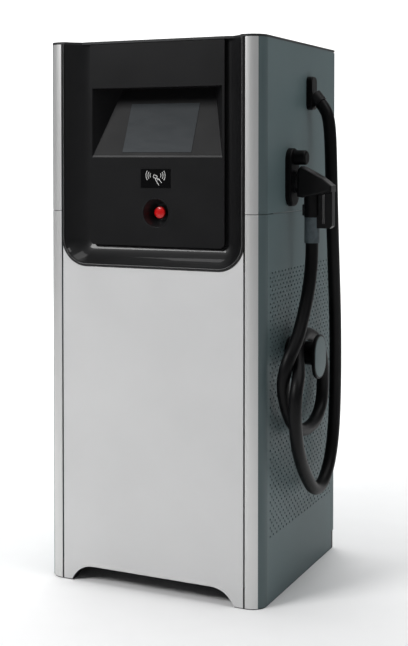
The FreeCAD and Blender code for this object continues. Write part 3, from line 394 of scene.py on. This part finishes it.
# ---- Charging cable -----------------------------------------------------------------------------
# A high-current cable, 42 mm thick, in a semi-matt black rubber sheath. It leaves the
# outlet, makes one low bend, goes over the drum and once round, then up into the connector.
side_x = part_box("upper_side_panel_right")[1].x
cable_route = [
    (42, 80, 1600), (60, 80, 1577), (71, 80, 1544), (77, 80, 1480), (80, 80, 1370),
    (81, 88, 1220), (75, 122, 1050), (67, 163, 880), (61, 186, 730), (57, 194, 590),
    (56, 184, 472), (56, 150, 380), (56, 98, 324), (56, 38, 302), (57, -24, 312), (60, -88, 358),
    (67, -155, 417), (76, -216, 476), (84, -263, 546), (90, -290, 622), (93, -284, 690),
    (86, -238, 737), (58, -187, 783), (48, -148, 830), (48, -90, 842), (48, -20, 828), (47, 50, 788),
    (46, 92, 728), (44, 104, 650), (44, 92, 578), (44, 36, 532), (44, -45, 518), (44, -120, 527),
    (44, -188, 560), (41, -236, 620), (38, -264, 698), (54, -265, 772), (69, -220, 832),
    (72, -179, 888), (76, -128, 985), (78, -103, 1080), (78, -103, 1139),
]
cable_thickness = 0.042
curve = bpy.data.curves.new("cable_line", "CURVE")
curve.dimensions = "3D"
curve.resolution_u = 14
spline = curve.splines.new("NURBS")
spline.points.add(len(cable_route) - 1)
for point, (out, y, z) in zip(spline.points, cable_route):
    point.co = (side_x + out / 1000, y / 1000, z / 1000, 1.0)
spline.order_u = 3
spline.use_endpoint_u = True
line_holder = bpy.data.objects.new("cable_line", curve)
bpy.context.scene.collection.objects.link(line_holder)
bare = bpy.data.meshes.new_from_object(line_holder.evaluated_get(bpy.context.evaluated_depsgraph_get()))
cable_line = np.array([v.co[:] for v in bare.vertices])
bpy.data.objects.remove(line_holder)


def tube_along(name, line, radius, around):
    """A ring carried along a line. Each ring's first direction is the last one, less its part along the
    new tangent, so the tube never twists."""
    way = np.gradient(line, axis=0)
    way = way / np.linalg.norm(way, axis=1, keepdims=True)
    first = np.zeros_like(line)
    first[0] = np.cross(way[0], (0, 1, 0))
    for k in range(1, len(line)):
        first[k] = first[k - 1] - way[k] * np.dot(first[k - 1], way[k])
        first[k] /= np.linalg.norm(first[k])
    first[0] /= np.linalg.norm(first[0])
    second = np.cross(way, first)
    a = np.linspace(0, 2 * math.pi, around, endpoint=False)
    points = (line[:, None, :] + radius * (np.cos(a)[None, :, None] * first[:, None, :]
                                           + np.sin(a)[None, :, None] * second[:, None, :]))
    return grid_mesh(name, points, close_v=True)


def rubber(name, colour, rough, depth=0.15, gleam=0.22):
    """Extruded rubber: a fine matt grain on a slow waviness, which also varies its gloss and colour."""
    made, tree, point = start_material(name)
    grain = add(tree, "TexNoise", {"Vector": point, "Scale": 1300.0, "Detail": 3.0}).outputs["Fac"]
    wave = add(tree, "TexNoise", {"Vector": point, "Scale": 55.0, "Detail": 2.0}).outputs["Fac"]
    height = add(tree, "Math", {0: wave, 1: 3.0, 2: grain}, operation="MULTIPLY_ADD").outputs[0]
    return end_material(made, tree, ramp(tree, wave, shade(colour, 0.8), shade(colour, 1.25), (0.35, 0.75)),
                        spread(tree, wave, rough - 0.07, rough + 0.07),
                        relief(tree, height, depth, 0.0004, 0.0008), Specular_IOR_Level=gleam)


cable_sheath = rubber("cable_sheath", "050506", 0.45, gleam=0.16)
cable_mesh = tube_along("cable", cable_line, cable_thickness / 2, 36)
cable = bpy.data.objects.new("cable", cable_mesh)
bpy.context.scene.collection.objects.link(cable)
cable_mesh.materials.append(cable_sheath)
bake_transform(cable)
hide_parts("charging_cable")
dress(rubber("strain_relief_rubber", "0C0C0D", 0.5), "strain_relief")


# ---- Connector, holster and cable outlet --------------------------------------------------------
# The connector is two shells of grained black plastic with a rubber sleeve where the cable
# enters, parked in a moulded holster with a rain hood. The outlet above is a moulded block.
gun_black = moulded("connector_black", "070708", 0.42, grain=1100.0, depth=0.3, gleam=0.18)
holder_black = moulded("holster_black", "050506", 0.42, depth=0.2, gleam=0.1)
dress(gun_black, "connector_shell_near", "connector_shell_far")
dress(moulded("nose_black", "141415", 0.5), "connector_nose")
dress(moulded("trigger_grey", "121314", 0.35), "connector_trigger")
dress(holder_black, "holster_plate", "holster_socket", "holster_hood", "cable_gland")
dress(rubber("boot_grey_rubber", "4C5559", 0.55, depth=0.1), "connector_boot")
dress(anodised("silvered_contact", "D8D3C8", 0.25), "contact_pins")


# ---- Cable hook ---------------------------------------------------------------------------------
# A black moulded drum screwed to the side, with an upright end plate that keeps the cable on it.
# The plate has a slate face let into its black rim; that slate is darker than the side panels' as painted
# shade.
dress(holder_black, "hook_drum", "hook_plate")
plate_low, plate_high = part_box("hook_plate")


def hook_face():
    """A stadium disc, a little smaller than the plate: rings of the outline shrunk to the centre line,
    domed outwards by the square of the distance in, with its edge turned back."""
    half_w = (plate_high.y - plate_low.y) / 2 - 0.006
    straight = (plate_high.z - plate_low.z) / 2 - (plate_high.y - plate_low.y) / 2
    mid = (plate_low + plate_high) / 2
    a = np.linspace(0, 2 * math.pi, 96, endpoint=False)[:, None]
    inner = np.linspace(0.95, 0.0, 12)
    shrink = np.concatenate([[1.0, 1.0, 0.995, 0.98], inner])[None, :]
    lift = np.concatenate([[-0.002, 0.0002, 0.0008, 0.0011], 0.0011 + 0.0006 * (1 - inner ** 2)])
    y = mid.y + half_w * shrink * np.cos(a)
    z = mid.z + half_w * shrink * np.sin(a) + straight * np.sign(np.sin(a)) * np.ones_like(shrink)
    x = np.broadcast_to(plate_high.x + lift[None, :], y.shape)
    return grid_mesh("hook_face", np.stack([x, y, z], axis=-1), close_u=True)


# painted shade: the face carries the side panels' slate paint made darker
show("hook_face", hook_face(), powder_coat("hook_face_shaded_slate", "4A5C5E", 0.5), "cabinet")


# ---- Hinges, handle and lock --------------------------------------------------------------------
# Lift-off hinges and the lock's tongue and shaft are zinc-plated steel; the handle is black.
def zinc(name, rough):
    """Zinc plate: crystals as cells with their own tone and gloss, under a fine scratch noise."""
    made, tree, point = start_material(name)
    crystals = add(tree, "TexVoronoi", {"Vector": point, "Scale": 95.0}).outputs["Color"]
    scratch = add(tree, "TexNoise", {"Vector": point, "Scale": 700.0, "Detail": 3.0}).outputs["Fac"]
    return end_material(made, tree, ramp(tree, crystals, linear("9A9C9E"), linear("C3C5C6")),
                        spread(tree, crystals, rough - 0.08, rough + 0.1),
                        relief(tree, scratch, 0.1, 0.0002, 0.0006), Metallic=0.9)


zinc_plate = zinc("zinc_plate", 0.42)
dress(zinc_plate, "hinge_leaves_fixed", "hinge_leaves_door", "lock_cam", "estop_stem", "inner_frame",
      "module_rack", "equipment_plate")
dress(black_coat, "door_handle", "fan_plate")


# ---- Fans ---------------------------------------------------------------------------------------
# Two square axial fans behind the pierced panel: glass-filled black plastic frames and rotors.
fan_black = moulded("fan_black", "151516", 0.55, depth=0.3)
dress(fan_black, "fan_frame_1", "fan_frame_2", "fan_rotor_1", "fan_rotor_2")


# ---- Power modules and switchgear ---------------------------------------------------------------
# Slide-in converters in brushed aluminium cases, a main breaker in grey-black plastic with its
# lever, and the control board, green with dark parts.
dress(anodised("module_case", "B9BBBD", 0.4), "power_module_1", "power_module_2", "power_module_3")
dress(moulded("breaker_grey", "3C3F42", 0.45), "main_breaker")
dress(moulded("breaker_lever_black", "161617", 0.35), "breaker_lever")


def board():
    """Solder resist over copper: tracks from a distorted wave, lighter and higher where they lie."""
    made, tree, point = start_material("control_board_green")
    tracks = add(tree, "TexWave", {"Vector": point, "Scale": 90.0, "Distortion": 2.5, "Detail": 1.0},
                 bands_direction="Z").outputs["Fac"]
    bump = add(tree, "Bump", {"Height": tracks, "Strength": 0.1, "Distance": 0.0001}).outputs[0]
    return end_material(made, tree, ramp(tree, tracks, linear("0E4A2C"), linear("2C7A4B"), (0.6, 0.75)),
                        0.35, bump)


dress(board(), "control_board")


# ---- Studio -------------------------------------------------------------------------------------
# A pale floor that curves up behind, softboxes from the left front, above and the right, and a dim room.
def cyclorama():
    """The floor runs back 9 m and turns up a quarter circle of 2 m radius into a wall."""
    x = np.linspace(-14, 14, 3)[:, None]
    turn = np.linspace(0, math.pi / 2, 24)
    y = np.concatenate([[-14.0], 9 + 2 * np.sin(turn), [11.0]])[None, :]
    z = np.concatenate([[0.0], 2 - 2 * np.cos(turn), [14.0]])[None, :]
    points = np.stack(np.broadcast_arrays(x, y, z), axis=-1)
    return grid_mesh("studio_floor", points)


made, tree, point = start_material("pale_floor")
fleck = add(tree, "TexNoise", {"Vector": point, "Scale": 6.0, "Detail": 3.0}).outputs["Fac"]
end_material(made, tree, ramp(tree, fleck, linear("F4F4F4"), linear("F8F8F8")), 0.9, Specular_IOR_Level=0.1)
floor_mesh = cyclorama()
floor_mesh.materials.append(made)
floor = bpy.data.objects.new("studio_floor", floor_mesh)
floor.rotation_euler = (0, 0, math.radians(25))
bpy.context.scene.collection.objects.link(floor)


def soft_light(name, place, target, size, power):
    """A rectangular softbox at a place, turned to face the target."""
    lamp = bpy.data.lights.new(name, "AREA")
    lamp.shape = "RECTANGLE"
    lamp.size, lamp.size_y = size
    lamp.energy = power
    holder = bpy.data.objects.new(name, lamp)
    holder.location = place
    way = np.array(target, float) - np.array(place, float)
    tilt = math.atan2(np.hypot(way[0], way[1]), -way[2])
    holder.rotation_euler = (tilt, 0, math.atan2(way[1], way[0]) - math.pi / 2)
    holder.visible_camera = False
    bpy.context.scene.collection.objects.link(holder)


soft_light("key", (-2.6, -4.2, 4.4), (0, 0, 0.9), (2.0, 2.0), 205)
soft_light("top", (-0.8, 1.4, 5.5), (-0.6, 1.8, 0), (6.0, 5.0), 260)
soft_light("side", (3.0, -0.6, 4.2), (0.4, 0, 2.2), (1.2, 1.2), 30)
soft_light("backdrop", (-2.0, 5.0, 6.5), (-3.5, 10.0, 1.5), (9.0, 3.0), 620)

world = bpy.data.worlds.new("studio")
bpy.context.scene.world = world
world.use_nodes = True
room = world.node_tree.nodes["Background"]
room.inputs["Color"].default_value = (0.95, 0.97, 1.0, 1)
room.inputs["Strength"].default_value = 0.16
bpy.context.scene.view_settings.view_transform = "Standard"

camera = bpy.data.cameras.new("camera")
camera.lens = 67.1
camera.sensor_width = 36
camera.sensor_fit = "AUTO"
camera.shift_y = -0.21
camera_holder = bpy.data.objects.new("camera", camera)
camera_holder.location = (1.7995, -3.7855, 1.4265)
camera_holder.rotation_euler = (math.radians(88.43), 0, math.radians(25.04))
bpy.context.scene.collection.objects.link(camera_holder)
bpy.context.scene.camera = camera_holder
